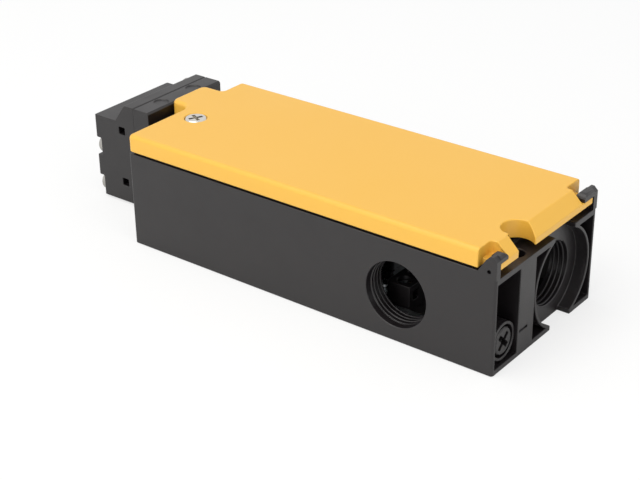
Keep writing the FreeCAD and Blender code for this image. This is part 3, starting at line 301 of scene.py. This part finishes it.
# ---- head -----------------------------------------------------------------
# Two black polyamide mouldings that part at the rotor's axis: the cap with
# the tongue slots, and the flange with the neck. A plug blanks one slot.
solid_copy("head_cap", black_polyamide, edge_mm=0.20)
solid_copy("head_base", black_polyamide, edge_mm=0.20)
solid_copy("slot_plug", black_polyamide, edge_mm=0.10)


# ---- screws ---------------------------------------------------------------
# Every screw comes from one tree: a head with a bevelled rim and a cross
# recess, and a shank with its thread turns, set on a point for each place.
def node_tree_with(name, numbers):
    """Geometry tree with a geometry input, number inputs in metres and a material input."""
    tree = bpy.data.node_groups.new(name, "GeometryNodeTree")
    tree.interface.new_socket(name="Geometry", in_out="INPUT", socket_type="NodeSocketGeometry")
    tree.interface.new_socket(name="Geometry", in_out="OUTPUT", socket_type="NodeSocketGeometry")
    for label in numbers:
        tree.interface.new_socket(name=label, in_out="INPUT", socket_type="NodeSocketFloat")
    tree.interface.new_socket(name="Turned To", in_out="INPUT", socket_type="NodeSocketRotation")
    tree.interface.new_socket(name="Material", in_out="INPUT", socket_type="NodeSocketMaterial")
    return tree, add_node(tree, "NodeGroupInput").outputs


def finish_tree(tree, geometry, material):
    """Ends a tree: instances made real, material set."""
    real = add_node(tree, "GeometryNodeRealizeInstances", {0: geometry})
    painted = add_node(tree, "GeometryNodeSetMaterial", {"Geometry": real.outputs[0], "Material": material})
    add_node(tree, "NodeGroupOutput", {0: painted.outputs[0]})


def grow(name, tree, places, values, turned, material):
    """A cloud of points with a tree that runs on it."""
    mesh = bpy.data.meshes.new(name)
    mesh.from_pydata([tuple(place) for place in places], [], [])
    piece = bpy.data.objects.new(name, mesh)
    bpy.context.scene.collection.objects.link(piece)
    grown = piece.modifiers.new("grown", "NODES")
    grown.node_group = tree
    wanted = {**values, "Turned To": turned, "Material": material}
    for item in tree.interface.items_tree:
        if item.in_out == "INPUT" and item.name in wanted:
            grown[item.identifier] = wanted[item.name]
    return piece


def on_points(name, tree, places, values, turned, material, *nodes, rides=True):
    """Grows a tree on points and settles the result as one piece."""
    piece = grow(name, tree, places, values, turned, material)
    settle(piece, material, *nodes, rides=rides)
    piece.data.set_sharp_from_angle(angle=SHARP_ABOVE)
    return piece


def screw_tree():
    """A screw along Z: the head stands on the seat at 0, and the shank hangs below it."""
    tree, given = node_tree_with("cross_recess_screw", (
        "Head Radius", "Head Height", "Shank Radius", "Shank Length", "Recess Reach", "Recess Width",
        "Thread Pitch"))

    def times(a, b):
        return maths(tree, "MULTIPLY", a, b)

    def along(z):
        return add_node(tree, "ShaderNodeCombineXYZ", {"Z": z}).outputs[0]

    # a drum, then a cone that narrows to the flat of the head and starts a hair inside the drum
    drum_share, cone_share, cone_start, flat_share = 0.75, 0.25, 0.7499, 0.88
    drum = add_node(tree, "GeometryNodeMeshCone", {
        "Vertices": 40, "Radius Top": given["Head Radius"], "Radius Bottom": given["Head Radius"],
        "Depth": times(given["Head Height"], drum_share)})
    rim = add_node(tree, "GeometryNodeMeshCone", {
        "Vertices": 40, "Radius Top": times(given["Head Radius"], flat_share),
        "Radius Bottom": given["Head Radius"], "Depth": times(given["Head Height"], cone_share)})
    rim = add_node(tree, "GeometryNodeTransform", {
        "Geometry": rim.outputs["Mesh"], "Translation": along(times(given["Head Height"], cone_start))})
    head = add_node(tree, "GeometryNodeMeshBoolean", {"Mesh 2": drum.outputs["Mesh"]}, operation="UNION")
    tree.links.new(rim.outputs[0], head.inputs["Mesh 2"])

    # cross recess, cut three fifths of the head deep by two arms as high as the head
    arm_middle = 0.92
    head = add_node(tree, "GeometryNodeMeshBoolean", {"Mesh 1": head.outputs["Mesh"]}, operation="DIFFERENCE")
    for quarter in (0.0, math.pi / 2):
        size = add_node(tree, "ShaderNodeCombineXYZ", {
            "X": times(given["Recess Reach"], 2.0), "Y": given["Recess Width"], "Z": given["Head Height"]})
        arm = add_node(tree, "GeometryNodeMeshCube", {"Size": size.outputs[0]})
        arm = add_node(tree, "GeometryNodeTransform", {
            "Geometry": arm.outputs["Mesh"], "Translation": along(times(given["Head Height"], arm_middle)),
            "Rotation": (0.0, 0.0, quarter)})
        tree.links.new(arm.outputs[0], head.inputs["Mesh 2"])

    # shank, and a rounded thread ridge wound on it, clear of both its ends
    core_share, helix_share, ridge_share = 0.86, 0.88, 0.12
    wound_share, wound_start = 0.94, -0.97
    core = add_node(tree, "GeometryNodeMeshCylinder", {
        "Vertices": 28, "Radius": times(given["Shank Radius"], core_share), "Depth": given["Shank Length"]})
    core = add_node(tree, "GeometryNodeTransform", {
        "Geometry": core.outputs["Mesh"], "Translation": along(times(given["Shank Length"], -0.5))})
    wound_length = times(given["Shank Length"], wound_share)
    helix_radius = times(given["Shank Radius"], helix_share)
    helix = add_node(tree, "GeometryNodeCurveSpiral", {
        "Resolution": 24, "Rotations": maths(tree, "DIVIDE", wound_length, given["Thread Pitch"]),
        "Start Radius": helix_radius, "End Radius": helix_radius, "Height": wound_length})
    ridge = add_node(tree, "GeometryNodeCurvePrimitiveCircle", {
        "Resolution": 5, "Radius": times(given["Shank Radius"], ridge_share)})
    thread = add_node(tree, "GeometryNodeCurveToMesh", {
        "Curve": helix.outputs[0], "Profile Curve": ridge.outputs[0], "Fill Caps": True})
    thread = add_node(tree, "GeometryNodeTransform", {
        "Geometry": thread.outputs[0], "Translation": along(times(given["Shank Length"], wound_start))})
    whole = add_node(tree, "GeometryNodeJoinGeometry")
    for part in (head.outputs["Mesh"], core.outputs[0], thread.outputs[0]):
        tree.links.new(part, whole.inputs[0])

    # one on each point, each driven home at its own angle; sockets 2 and 3 of the random value are its
    # lowest and highest number, and output 1 is the number
    set_out = add_node(tree, "GeometryNodeInstanceOnPoints", {
        "Points": given["Geometry"], "Instance": whole.outputs[0], "Rotation": given["Turned To"]})
    angle = add_node(tree, "FunctionNodeRandomValue", {2: 0.0, 3: math.pi / 2, "Seed": 4}, data_type="FLOAT")
    spin = add_node(tree, "ShaderNodeCombineXYZ", {"Z": angle.outputs[1]})
    turned = add_node(tree, "GeometryNodeRotateInstances", {
        "Instances": set_out.outputs[0], "Rotation": spin.outputs[0]})
    finish_tree(tree, turned.outputs[0], given["Material"])
    return tree


def islands(node):
    """Lowest and highest corner of each separate solid of a CAD node."""
    work = bmesh.new()
    work.from_mesh(frame["nodes"][node].data)
    bmesh.ops.remove_doubles(work, verts=work.verts, dist=SAME_POINT)
    waiting = set(work.verts)
    boxes = []
    while waiting:
        found = {waiting.pop()}
        edge_of_search = list(found)
        while edge_of_search:
            vertex = edge_of_search.pop()
            for edge in vertex.link_edges:
                other = edge.other_vert(vertex)
                if other in waiting:
                    waiting.discard(other)
                    found.add(other)
                    edge_of_search.append(other)
        low = Vector([min(v.co[i] for v in found) for i in range(3)])
        high = Vector([max(v.co[i] for v in found) for i in range(3)])
        boxes.append((low, high))
    work.free()
    return sorted(boxes, key=lambda corners: tuple(corners[0]))


# how a screw, spring or thread turns from standing along Z
HEAD_UP = (0.0, 0.0, 0.0)
HEAD_TO_CABLE_END = (0.0, math.pi / 2, 0.0)
HEAD_TO_NOSE = (0.0, -math.pi / 2, 0.0)


def set_screws(node, turned, material, seat_mm, shank_radius_mm, pitch_mm, head_radius_mm=None,
               head_height_mm=None, recess=(0.62, 0.24)):
    """Screws for a CAD node; places and length come from its solids, whose heads are seat_mm high.
    recess is its reach and width as shares of the head's radius. A head with no radius or height of its
    own has those of the solid."""
    along = 2 if turned == HEAD_UP else 0
    sign = -1 if turned == HEAD_TO_NOSE else 1
    seats = []
    for low, high in islands(node):
        middle = (low + high) / 2
        top, tip = (high[along], low[along]) if sign > 0 else (low[along], high[along])
        seat = middle.copy()
        seat[along] = top - sign * seat_mm / 1000
        seats.append((seat, abs(seat[along] - tip), (high[1] - low[1]) / 2))
    # lengths that differ by less than a hundredth of a millimetre are one length, and a screw whose solid
    # is all head still gets the stub of a shank
    same_length = 1e-5
    shortest_shank = 0.0004
    lengths = sorted({round(length, 5) for _, length, _ in seats})
    radius = head_radius_mm / 1000 if head_radius_mm else seats[0][2]
    values = {
        "Head Radius": radius, "Head Height": (head_height_mm or seat_mm) / 1000,
        "Shank Radius": shank_radius_mm / 1000, "Recess Reach": radius * recess[0],
        "Recess Width": radius * recess[1], "Thread Pitch": pitch_mm / 1000}
    for length in lengths:
        values["Shank Length"] = max(length, shortest_shank)
        places = [seat for seat, run, _ in seats if abs(run - length) < same_length]
        name = f"{node}_{len(places)}_long_{length * 1000:.0f}"
        on_points(name, screws, places, values, turned, material, node)


def worked_metal(name, colour, worn_colour, roughness, lay_mm, depth_mm, patch_mm=6.0):
    """Metal with a lay: fine marks as long as lay_mm in X, Y and Z, and patches that are smoother or
    duller than its roughness."""
    material, output = empty_material(name)
    tree = material.node_tree
    place = add_node(tree, "ShaderNodeTexCoord").outputs["Object"]
    stretched = add_node(tree, "ShaderNodeMapping", {
        "Vector": place, "Scale": [1000 / mm for mm in lay_mm]})
    marks = add_node(tree, "ShaderNodeTexNoise", {
        "Vector": stretched.outputs[0], "Scale": 1.0, "Detail": 3.0})
    patches = add_node(tree, "ShaderNodeTexNoise", {
        "Vector": place, "Scale": 1000 / patch_mm, "Detail": 3.0})
    tint, gloss = uneven(tree, patches, colour, worn_colour, roughness * 0.75, roughness * 1.3)
    bump = add_node(tree, "ShaderNodeBump", {
        "Height": marks.outputs["Fac"], "Strength": 1.0, "Distance": depth_mm / 1000})
    skin = add_node(tree, "ShaderNodeBsdfPrincipled", {
        "Base Color": tint, "Metallic": 1.0, "Roughness": gloss, "Normal": bump.outputs["Normal"]})
    tree.links.new(skin.outputs[0], output.inputs["Surface"])
    return material


screws = screw_tree()
# bright and slightly warm, so the heads glint in their seats
bright_nickel = worked_metal("bright_nickel_plate", "#D9D6D0", "#C4C0B8", roughness=0.20,
                             lay_mm=(0.8, 0.8, 0.8), depth_mm=0.002)
# bluish grey passivated zinc, a little cloudy, as on cheap steel hardware
zinc_plate = worked_metal("blue_passivated_zinc_plate", "#C6CACD", "#A9AEB0", roughness=0.32,
                          lay_mm=(1.5, 1.5, 1.5), depth_mm=0.003)
set_screws("cover_screw", HEAD_UP, bright_nickel, seat_mm=2.0, shank_radius_mm=1.6, pitch_mm=0.7,
           head_radius_mm=3.68, recess=(0.64, 0.30))
# rougher than the cover's screw, and painted darker for the shade these stand in, so they read as grey steel
shaded_dull_nickel = worked_metal("dull_nickel_plate_painted_shade", "#B4B2AE", "#9A9894", roughness=0.34,
                           lay_mm=(0.8, 0.8, 0.8), depth_mm=0.003)
set_screws("head_screws", HEAD_TO_NOSE, shaded_dull_nickel, seat_mm=1.55, shank_radius_mm=1.5, pitch_mm=0.8,
           head_radius_mm=3.08, head_height_mm=1.95)
set_screws("neck_screws", HEAD_TO_CABLE_END, zinc_plate, seat_mm=1.8, shank_radius_mm=1.4, pitch_mm=0.8)
set_screws("terminal_screws", HEAD_UP, bright_nickel, seat_mm=1.8, shank_radius_mm=1.3, pitch_mm=0.5)
set_screws("chassis_screws", HEAD_UP, zinc_plate, seat_mm=1.9, shank_radius_mm=1.2, pitch_mm=0.8)
set_screws("coil_terminal_screws", HEAD_UP, zinc_plate, seat_mm=1.6, shank_radius_mm=0.9, pitch_mm=0.5)


# ---- springs --------------------------------------------------------------
# Round wire wound on a helix whose first and last turns lie flat, as on a
# compression spring with closed ends.
def spring_tree():
    """A spring along Z, from 0 up."""
    tree, given = node_tree_with("closed_end_spring", ("Coil Radius", "Wire Radius", "Length", "Turns"))
    helix = add_node(tree, "GeometryNodeCurveSpiral", {
        "Resolution": 30, "Rotations": given["Turns"], "Start Radius": given["Coil Radius"],
        "End Radius": given["Coil Radius"], "Height": given["Length"]})
    share = add_node(tree, "GeometryNodeSplineParameter").outputs["Factor"]
    # the range is clamped, so the height stands still over the first turn and the last
    one_turn = maths(tree, "DIVIDE", 1.0, given["Turns"])
    lifted = add_node(tree, "ShaderNodeMapRange", {
        "Value": share, "From Min": one_turn, "From Max": maths(tree, "SUBTRACT", 1.0, one_turn),
        "To Min": given["Wire Radius"],
        "To Max": maths(tree, "SUBTRACT", given["Length"], given["Wire Radius"])})
    on_helix = add_node(tree, "GeometryNodeInputPosition").outputs[0]
    where = add_node(tree, "ShaderNodeSeparateXYZ", {0: on_helix})
    moved = add_node(tree, "ShaderNodeCombineXYZ", {
        "X": where.outputs["X"], "Y": where.outputs["Y"], "Z": lifted.outputs["Result"]})
    wound = add_node(tree, "GeometryNodeSetPosition", {
        "Geometry": helix.outputs[0], "Position": moved.outputs[0]})
    section = add_node(tree, "GeometryNodeCurvePrimitiveCircle", {
        "Resolution": 10, "Radius": given["Wire Radius"]})
    wire = add_node(tree, "GeometryNodeCurveToMesh", {
        "Curve": wound.outputs[0], "Profile Curve": section.outputs[0], "Fill Caps": True})
    set_out = add_node(tree, "GeometryNodeInstanceOnPoints", {
        "Points": given["Geometry"], "Instance": wire.outputs[0], "Rotation": given["Turned To"]})
    finish_tree(tree, set_out.outputs[0], given["Material"])
    return tree


def set_springs(node, wire_radius_mm, turns, between=None):
    """Springs along X for a CAD node, each as long and as wide as its solid. A spring between two bodies
    rides on neither, and its place is fixed into its mesh."""
    boxes = islands(node)
    low, high = boxes[0]
    wire_radius = wire_radius_mm / 1000
    values = {"Coil Radius": (high.z - low.z) / 2 - wire_radius, "Wire Radius": wire_radius,
              "Length": high.x - low.x, "Turns": float(turns)}
    starts = [(a.x, (a.y + b.y) / 2, (a.z + b.z) / 2) for a, b in boxes]
    piece = on_points(node + "_wound", springs, starts, values, HEAD_TO_CABLE_END, spring_steel, node,
                      rides=between is None)
    if between:
        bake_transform(piece)


springs = spring_tree()
# drawn wire: grey, with a fine lay and a soft shine along each turn
spring_steel = worked_metal("drawn_spring_steel", "#9FA0A2", "#86878A", roughness=0.28,
                            lay_mm=(2.0, 0.3, 0.3), depth_mm=0.002)
set_springs("rod_spring", wire_radius_mm=0.45, turns=7, between=("rod", "housing"))
set_springs("armature_spring", wire_radius_mm=0.34, turns=6, between=("housing", "armature"))
set_springs("bridge_springs", wire_radius_mm=0.18, turns=5)


# ---- cable entry threads --------------------------------------------------
# Moulded M20 x 1.5 turns in the three entries, each a helical ridge that
# stands in from the plain bore of the CAD.
def thread_tree():
    """A ridge of square section, one corner inwards, wound along Z."""
    tree, given = node_tree_with("entry_thread", ("Bore Radius", "Ridge", "Length", "Pitch"))
    helix = add_node(tree, "GeometryNodeCurveSpiral", {
        "Resolution": 72, "Rotations": maths(tree, "DIVIDE", given["Length"], given["Pitch"]),
        "Start Radius": given["Bore Radius"], "End Radius": given["Bore Radius"], "Height": given["Length"]})
    upright = add_node(tree, "GeometryNodeSetCurveNormal", {0: helix.outputs[0]}, mode="Z_UP")
    section = add_node(tree, "GeometryNodeCurvePrimitiveCircle", {"Resolution": 4, "Radius": given["Ridge"]})
    ridge = add_node(tree, "GeometryNodeCurveToMesh", {
        "Curve": upright.outputs[0], "Profile Curve": section.outputs[0], "Fill Caps": True})
    set_out = add_node(tree, "GeometryNodeInstanceOnPoints", {
        "Points": given["Geometry"], "Instance": ridge.outputs[0], "Rotation": given["Turned To"]})
    finish_tree(tree, set_out.outputs[0], given["Material"])
    return tree


def cut_thread(name, start, length_mm, turned):
    """A thread in the housing, from its inner end outwards. It belongs to the housing's own node, so it
    replaces none."""
    values = {"Bore Radius": 0.0100, "Ridge": 0.0004, "Length": length_mm / 1000, "Pitch": 0.0015}
    piece = grow(name, entry_thread, [start], values, turned, black_polyamide)
    flatten(piece)
    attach(piece, "housing")


entry_thread = thread_tree()
entry_z = 0.015
side_entry_x = 0.0525
side_thread_start = 0.0202
side_thread_mm = 4.6
to_front = (math.pi / 2, 0.0, 0.0)
to_back = (-math.pi / 2, 0.0, 0.0)
cut_thread("front_entry_thread", (side_entry_x, -side_thread_start, entry_z), side_thread_mm, to_front)
cut_thread("back_entry_thread", (side_entry_x, side_thread_start, entry_z), side_thread_mm, to_back)
end_entry_y = 0.0096
end_thread_start = 0.0753
end_thread_mm = 5.4
cut_thread("end_entry_thread", (end_thread_start, end_entry_y, entry_z), end_thread_mm, HEAD_TO_CABLE_END)


# ---- seals ----------------------------------------------------------------
# Black rubber: a flat cord in the cover's groove, the screw's retaining
# ring, and a round-section ring on the release screw.

# soft black rubber, duller than the nylon next to it
seal_rubber = moulded_plastic("black_nitrile_rubber", "#1C1B1B", "#232222", grain_mm=0.20,
                              grain_depth_mm=0.006, roughness=0.62, mottle_mm=6.0)
solid_copy("cover_gasket", seal_rubber, edge_mm=0.30)
solid_copy("cover_screw_ring", seal_rubber, edge_mm=0.15)
ring_low, ring_high = islands("release_o_ring")[0]
ring_middle = (ring_low + ring_high) / 2
cord_radius = (ring_high.x - ring_low.x) / 2
bpy.ops.mesh.primitive_torus_add(
    major_segments=64, minor_segments=16, location=(0, 0, 0),
    major_radius=(ring_high.y - ring_low.y) / 2 - cord_radius, minor_radius=cord_radius)
seal = bpy.context.object
seal.name = "release_o_ring_round"
seal.data.transform(Matrix.Translation(ring_middle) @ Matrix.Rotation(math.pi / 2, 4, "Y"))
seal.data.shade_smooth()
settle(seal, seal_rubber, "release_o_ring")


# ---- rotor and lock rod ---------------------------------------------------
# Sintered rotor on a turned pin, and a turned steel rod with its collar.

# sintered zinc: dull, grainy grey, the grain a few tenths of a millimetre
sintered_zinc = worked_metal("sintered_zinc", "#8E9093", "#7B7D80", roughness=0.48,
                             lay_mm=(0.35, 0.35, 0.35), depth_mm=0.015, patch_mm=3.0)
# turned steel: cleaner and brighter than the rotor, with fine rings
turned_steel = worked_metal("turned_free_cutting_steel", "#B4B4B5", "#9C9C9E", roughness=0.26,
                            lay_mm=(0.15, 4.0, 4.0), depth_mm=0.003)
solid_copy("cam_rotor", sintered_zinc, edge_mm=0.20)
solid_copy("rotor_axle", turned_steel, edge_mm=0.20)
solid_copy("lock_rod", turned_steel, edge_mm=0.12)


# ---- contacts -------------------------------------------------------------
# White acetal slider with brass bridges, in a dark phenolic block that holds
# the fixed contact strips. The cover screw's insert is of the same brass.

# white acetal: waxy, smooth and slightly off white
white_acetal = moulded_plastic("white_acetal", "#E4E2DA", "#DEDCD3", grain_mm=0.6, grain_depth_mm=0.003,
                               roughness=0.36, mottle_mm=20.0)
# dark phenolic: brownish black with a flecked, harder gloss
dark_phenolic = moulded_plastic("dark_phenolic", "#1E1B1A", "#191716", grain_mm=0.5, grain_depth_mm=0.008,
                                roughness=0.38, mottle_mm=2.5)
# bare brass: yellow metal with rolled lines, tarnished in patches
rolled_brass = worked_metal("rolled_brass", "#CDA65A", "#B08A45", roughness=0.28,
                            lay_mm=(3.0, 0.2, 3.0), depth_mm=0.002)
solid_copy("bridge_carrier", white_acetal, edge_mm=0.20)
solid_copy("contact_bridges", rolled_brass, edge_mm=0.10)
solid_copy("contact_block", dark_phenolic, edge_mm=0.20)
solid_copy("fixed_contacts", rolled_brass, edge_mm=0.10)
solid_copy("cover_insert", rolled_brass, edge_mm=0.15)


# ---- chassis, lever and solenoid ------------------------------------------
# Pressed and zinc-plated steel sheet with the pivot post, the two-armed
# lever, and a solenoid with a visible copper winding.
solid_copy("chassis", zinc_plate, edge_mm=0.15)
solid_copy("lever_pin", turned_steel, edge_mm=0.15)
solid_copy("lock_lever", zinc_plate, edge_mm=0.20)
solid_copy("solenoid_yoke", zinc_plate, edge_mm=0.15)
solid_copy("solenoid_bobbin", white_acetal, edge_mm=0.15)
solid_copy("solenoid_core", turned_steel, edge_mm=0.15)
solid_copy("armature", turned_steel, edge_mm=0.20)
solid_copy("armature_collar", zinc_plate, edge_mm=0.20)
solid_copy("push_pin", rolled_brass, edge_mm=0.25)
solid_copy("coil_terminal_block", black_polyamide, edge_mm=0.15)
solid_copy("release_strip", zinc_plate, edge_mm=0.10)


def winding_tree():
    """A winding along Z, from 0 up: the outer layer as separate turns, and what lies under it as a drum."""
    tree, given = node_tree_with("winding", ("Outer Radius", "Inner Radius", "Wire Radius", "Length"))
    wire_width = maths(tree, "MULTIPLY", given["Wire Radius"], 2.0)
    # the turns lie a little closer than the wire is wide, so no gap shows between them
    pitch = maths(tree, "MULTIPLY", given["Wire Radius"], 1.96)
    drum_length = maths(tree, "SUBTRACT", given["Length"], wire_width)
    turn_radius = maths(tree, "SUBTRACT", given["Outer Radius"], given["Wire Radius"])
    count = maths(tree, "FLOOR", maths(tree, "DIVIDE", drum_length, pitch), 0.0)
    offset = add_node(tree, "ShaderNodeCombineXYZ", {"Z": pitch})
    start = add_node(tree, "ShaderNodeCombineXYZ", {"Z": given["Wire Radius"]})
    line = add_node(tree, "GeometryNodeMeshLine", {
        "Count": count, "Start Location": start.outputs[0], "Offset": offset.outputs[0]})
    ring = add_node(tree, "GeometryNodeCurvePrimitiveCircle", {"Resolution": 56, "Radius": turn_radius})
    section = add_node(tree, "GeometryNodeCurvePrimitiveCircle", {
        "Resolution": 8, "Radius": given["Wire Radius"]})
    turn = add_node(tree, "GeometryNodeCurveToMesh", {
        "Curve": ring.outputs[0], "Profile Curve": section.outputs[0]})
    turns = add_node(tree, "GeometryNodeInstanceOnPoints", {
        "Points": line.outputs[0], "Instance": turn.outputs[0]})
    under = add_node(tree, "GeometryNodeMeshCylinder", {
        "Vertices": 56, "Radius": turn_radius, "Depth": drum_length})
    middle = add_node(tree, "ShaderNodeCombineXYZ", {"Z": maths(tree, "MULTIPLY", given["Length"], 0.5)})
    under = add_node(tree, "GeometryNodeTransform", {
        "Geometry": under.outputs["Mesh"], "Translation": middle.outputs[0]})
    # longer than the drum, so it cuts right through
    bore = add_node(tree, "GeometryNodeMeshCylinder", {
        "Vertices": 40, "Radius": given["Inner Radius"],
        "Depth": maths(tree, "MULTIPLY", given["Length"], 1.2)})
    bore = add_node(tree, "GeometryNodeTransform", {
        "Geometry": bore.outputs["Mesh"], "Translation": middle.outputs[0]})
    drum = add_node(tree, "GeometryNodeMeshBoolean", {
        "Mesh 1": under.outputs[0], "Mesh 2": bore.outputs[0]}, operation="DIFFERENCE")
    whole = add_node(tree, "GeometryNodeJoinGeometry")
    tree.links.new(turns.outputs[0], whole.inputs[0])
    tree.links.new(drum.outputs["Mesh"], whole.inputs[0])
    set_out = add_node(tree, "GeometryNodeInstanceOnPoints", {
        "Points": given["Geometry"], "Instance": whole.outputs[0], "Rotation": given["Turned To"]})
    finish_tree(tree, set_out.outputs[0], given["Material"])
    return tree


# enamelled copper: red-brown, with the gloss of its thin varnish
enamelled_copper = worked_metal("enamelled_copper", "#A5562F", "#8A4426", roughness=0.24,
                                lay_mm=(0.4, 3.0, 3.0), depth_mm=0.002)
coil_low, coil_high = islands("solenoid_coil")[0]
coil_middle = (coil_low + coil_high) / 2
bobbin_radius = 0.00462
wire_radius = 0.00028
on_points("solenoid_coil_wound", winding_tree(), [(coil_low.x, coil_middle.y, coil_middle.z)], {
    "Outer Radius": (coil_high.z - coil_low.z) / 2, "Inner Radius": bobbin_radius, "Wire Radius": wire_radius,
    "Length": coil_high.x - coil_low.x}, HEAD_TO_CABLE_END, enamelled_copper, "solenoid_coil")


# ---- auxiliary release ----------------------------------------------------
# Black moulded screw with a cross slot, down in the pocket at the cable end,
# and its white barrel cam behind the wall.
solid_copy("release_screw", black_polyamide, edge_mm=0.12)
solid_copy("release_barrel", white_acetal, edge_mm=0.12)
